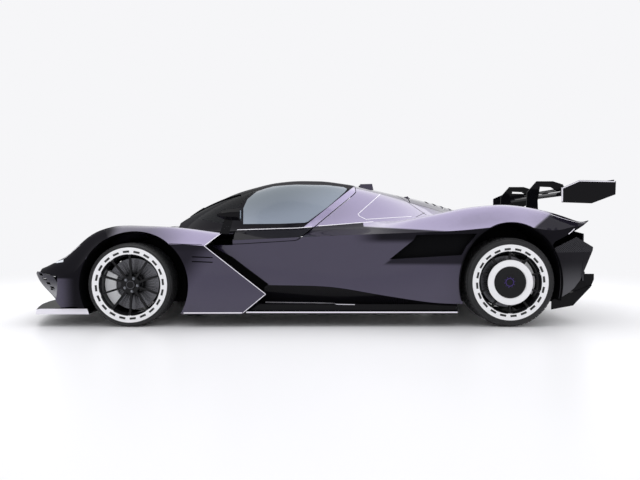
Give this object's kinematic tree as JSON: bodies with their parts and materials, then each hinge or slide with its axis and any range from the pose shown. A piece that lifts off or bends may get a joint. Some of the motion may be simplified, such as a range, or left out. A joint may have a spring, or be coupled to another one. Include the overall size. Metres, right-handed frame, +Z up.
{
  "type": "supercar",
  "caption": "Low track-bred supercar with wheel-arch blades, a front-hinged canopy, a rear wing on swan-neck pylons and ringed wheels.",
  "frame": {"origin": "centre of the car's footprint on the ground", "axes": "+Z up, -X to the front of the car, -Y to its left side"},
  "size_m": [4.601, 2.03, 1.1637],
  "materials": {
    "paint": "dark purple metallic gloss",
    "carbon": "black carbon fibre, satin clear coat",
    "structure": "bare carbon composite",
    "screen": "tinted screen",
    "window": "pale tinted polycarbonate",
    "tyre": "slick road tyre rubber",
    "wheel": "forged, black with a white outer ring",
    "disc": "machined brake disc",
    "caliper": "silver anodised",
    "metal": "bare suspension metal",
    "engine": "cast block",
    "lamp": "clear lamp cover",
    "tail_lamp": "red lamp cover",
    "trim": "black seat cloth",
    "exhaust": "heat-stained steel"
  },
  "bodies": {
    "chassis": {"dashboard": "structure", "diffuser": "carbon", "engine_block": "engine", "exhaust": "exhaust", "flank_left": "paint", "flank_right": "paint", "front_fender_left": "paint", "front_fender_right": "paint", "front_splitter": "carbon", "headlights": "lamp", "hood": "paint", "liners": "structure", "mirrors": "carbon", "nose": "paint", "rear_calipers": "caliper", "rear_deck": "paint", "rear_uprights": "metal", "seats": "trim", "sills": "carbon", "suspension_arms": "metal", "tail_lights": "tail_lamp", "tail_panel": "carbon", "tub": "structure", "wing": "carbon", "wing_pylons": "carbon"},
    "canopy": {"canopy_frame": "paint", "windscreen": "screen", "side_windows": "window"},
    "engine_lid": {"engine_cover": "paint"},
    "steering_wheel": {"steering_wheel": "structure"},
    "steer_left": {"knuckle_left": "metal", "caliper_left": "caliper"},
    "steer_right": {"knuckle_right": "metal", "caliper_right": "caliper"},
    "wheel_front_left": {"tyre_front_left": "tyre", "rim_front_left": "wheel", "disc_front_left": "disc"},
    "wheel_front_right": {"tyre_front_right": "tyre", "rim_front_right": "wheel", "disc_front_right": "disc"},
    "wheel_rear_left": {"tyre_rear_left": "tyre", "rim_rear_left": "wheel", "disc_rear_left": "disc"},
    "wheel_rear_right": {"tyre_rear_right": "tyre", "rim_rear_right": "wheel", "disc_rear_right": "disc"}
  },
  "joints": [
    {"name": "steer_left_turn", "type": "hinge", "parent": "chassis", "child": "steer_left", "pos_m": [-1.3795, -0.8087, 0.316], "axis": [0, 0, 1], "range_deg": [-24, 24]},
    {"name": "steer_right_turn", "type": "hinge", "parent": "chassis", "child": "steer_right", "pos_m": [-1.3795, 0.8087, 0.316], "axis": [0, 0, 1], "range_deg": [-24, 24]},
    {"name": "steering_wheel_turn", "type": "hinge", "parent": "chassis", "child": "steering_wheel", "pos_m": [-0.4875, -0.33, 0.615], "axis": [0.9397, 0, 0.342], "range_deg": [-192, 192]},
    {"name": "wheel_front_left_spin", "type": "hinge", "parent": "steer_left", "child": "wheel_front_left", "pos_m": [-1.3795, -0.8705, 0.316], "axis": [0, 1, 0], "continuous": true},
    {"name": "wheel_front_right_spin", "type": "hinge", "parent": "steer_right", "child": "wheel_front_right", "pos_m": [-1.3795, 0.8705, 0.316], "axis": [0, 1, 0], "continuous": true},
    {"name": "wheel_rear_left_spin", "type": "hinge", "parent": "chassis", "child": "wheel_rear_left", "pos_m": [1.4755, -0.8455, 0.335], "axis": [0, 1, 0], "continuous": true},
    {"name": "wheel_rear_right_spin", "type": "hinge", "parent": "chassis", "child": "wheel_rear_right", "pos_m": [1.4755, 0.8455, 0.335], "axis": [0, 1, 0], "continuous": true},
    {"name": "canopy_hinge", "type": "hinge", "parent": "chassis", "child": "canopy", "pos_m": [-1.1835, 0, 0.752], "axis": [0, -1, 0], "range_deg": [0, 50]},
    {"name": "engine_lid_hinge", "type": "hinge", "parent": "chassis", "child": "engine_lid", "pos_m": [0.8085, 0, 1.0118], "axis": [0, -1, 0], "range_deg": [0, 45]}
  ],
  "couplings": [
    {"joint": "steer_right_turn", "follows": "steer_left_turn", "ratio": 1},
    {"joint": "steering_wheel_turn", "follows": "steer_left_turn", "ratio": 8}
  ]
}
